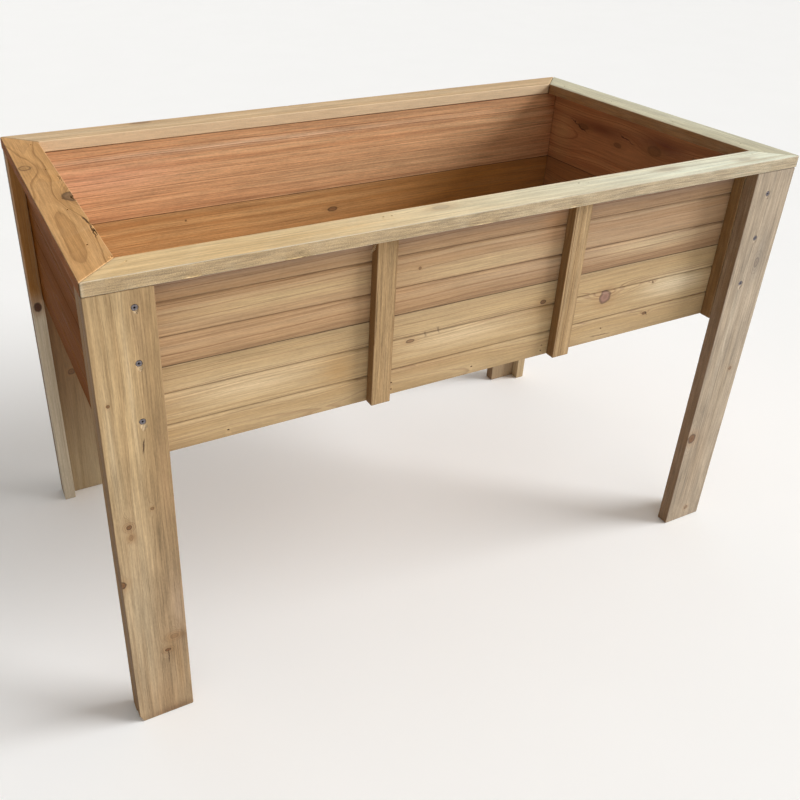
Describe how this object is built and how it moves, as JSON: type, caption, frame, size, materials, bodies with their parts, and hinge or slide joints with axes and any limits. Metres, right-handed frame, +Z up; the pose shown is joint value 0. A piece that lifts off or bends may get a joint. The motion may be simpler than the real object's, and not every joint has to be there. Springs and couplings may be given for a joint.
{
  "type": "raised planter",
  "caption": "Rectangular wooden planter box on L-shaped legs, with grooved plank walls, upright battens, a mitred flat cap rail and a slatted draining floor.",
  "frame": {"origin": "on the floor, under the middle of the planter", "axes": "+X along the length, +Y from front to back, +Z up"},
  "size_m": [1.219, 0.654, 0.7845],
  "materials": {
    "cap_cedar": "bare planed cedar, pale straw to tan, saw-textured outer edges",
    "leg_cedar": "bare cedar, greyish tan with long grain and small knots",
    "batten_cedar": "bare cedar, tan with coarse grain",
    "upper_board_cedar": "bare planed cedar, pinkish tan, grooved on the outside",
    "lower_board_cedar": "bare planed cedar, yellowish tan, grooved on the outside",
    "floor_cedar": "bare rough cedar, brown",
    "screw_steel": "coated steel deck screw, dull"
  },
  "bodies": {
    "root": {"cap_rail_front": "cap_cedar", "cap_rail_back": "cap_cedar", "cap_rail_left": "cap_cedar", "cap_rail_right": "cap_cedar", "leg_board_front_left": "leg_cedar", "leg_board_front_right": "leg_cedar", "leg_board_back_left": "leg_cedar", "leg_board_back_right": "leg_cedar", "leg_strip_front_left": "leg_cedar", "leg_strip_front_right": "leg_cedar", "leg_strip_back_left": "leg_cedar", "leg_strip_back_right": "leg_cedar", "corner_block_front_left": "batten_cedar", "corner_block_front_right": "batten_cedar", "corner_block_back_left": "batten_cedar", "corner_block_back_right": "batten_cedar", "batten_front_left": "batten_cedar", "batten_front_right": "batten_cedar", "batten_back_left": "batten_cedar", "batten_back_right": "batten_cedar", "front_board_upper": "upper_board_cedar", "back_board_upper": "upper_board_cedar", "left_board_upper": "upper_board_cedar", "right_board_upper": "upper_board_cedar", "front_board_lower": "lower_board_cedar", "back_board_lower": "lower_board_cedar", "left_board_lower": "lower_board_cedar", "right_board_lower": "lower_board_cedar", "floor_ledger_front": "floor_cedar", "floor_ledger_back": "floor_cedar", "floor_ledger_left": "floor_cedar", "floor_ledger_right": "floor_cedar", "floor_slat_1": "floor_cedar", "floor_slat_2": "floor_cedar", "floor_slat_3": "floor_cedar", "floor_slat_4": "floor_cedar", "floor_slat_5": "floor_cedar", "floor_slat_6": "floor_cedar", "floor_slat_7": "floor_cedar", "floor_slat_8": "floor_cedar", "leg_screw_front_left_1": "screw_steel", "leg_screw_front_left_2": "screw_steel", "leg_screw_front_left_3": "screw_steel", "leg_screw_front_right_1": "screw_steel", "leg_screw_front_right_2": "screw_steel", "leg_screw_front_right_3": "screw_steel", "leg_screw_back_left_1": "screw_steel", "leg_screw_back_left_2": "screw_steel", "leg_screw_back_left_3": "screw_steel", "leg_screw_back_right_1": "screw_steel", "leg_screw_back_right_2": "screw_steel", "leg_screw_back_right_3": "screw_steel"}
  },
  "joints": []
}
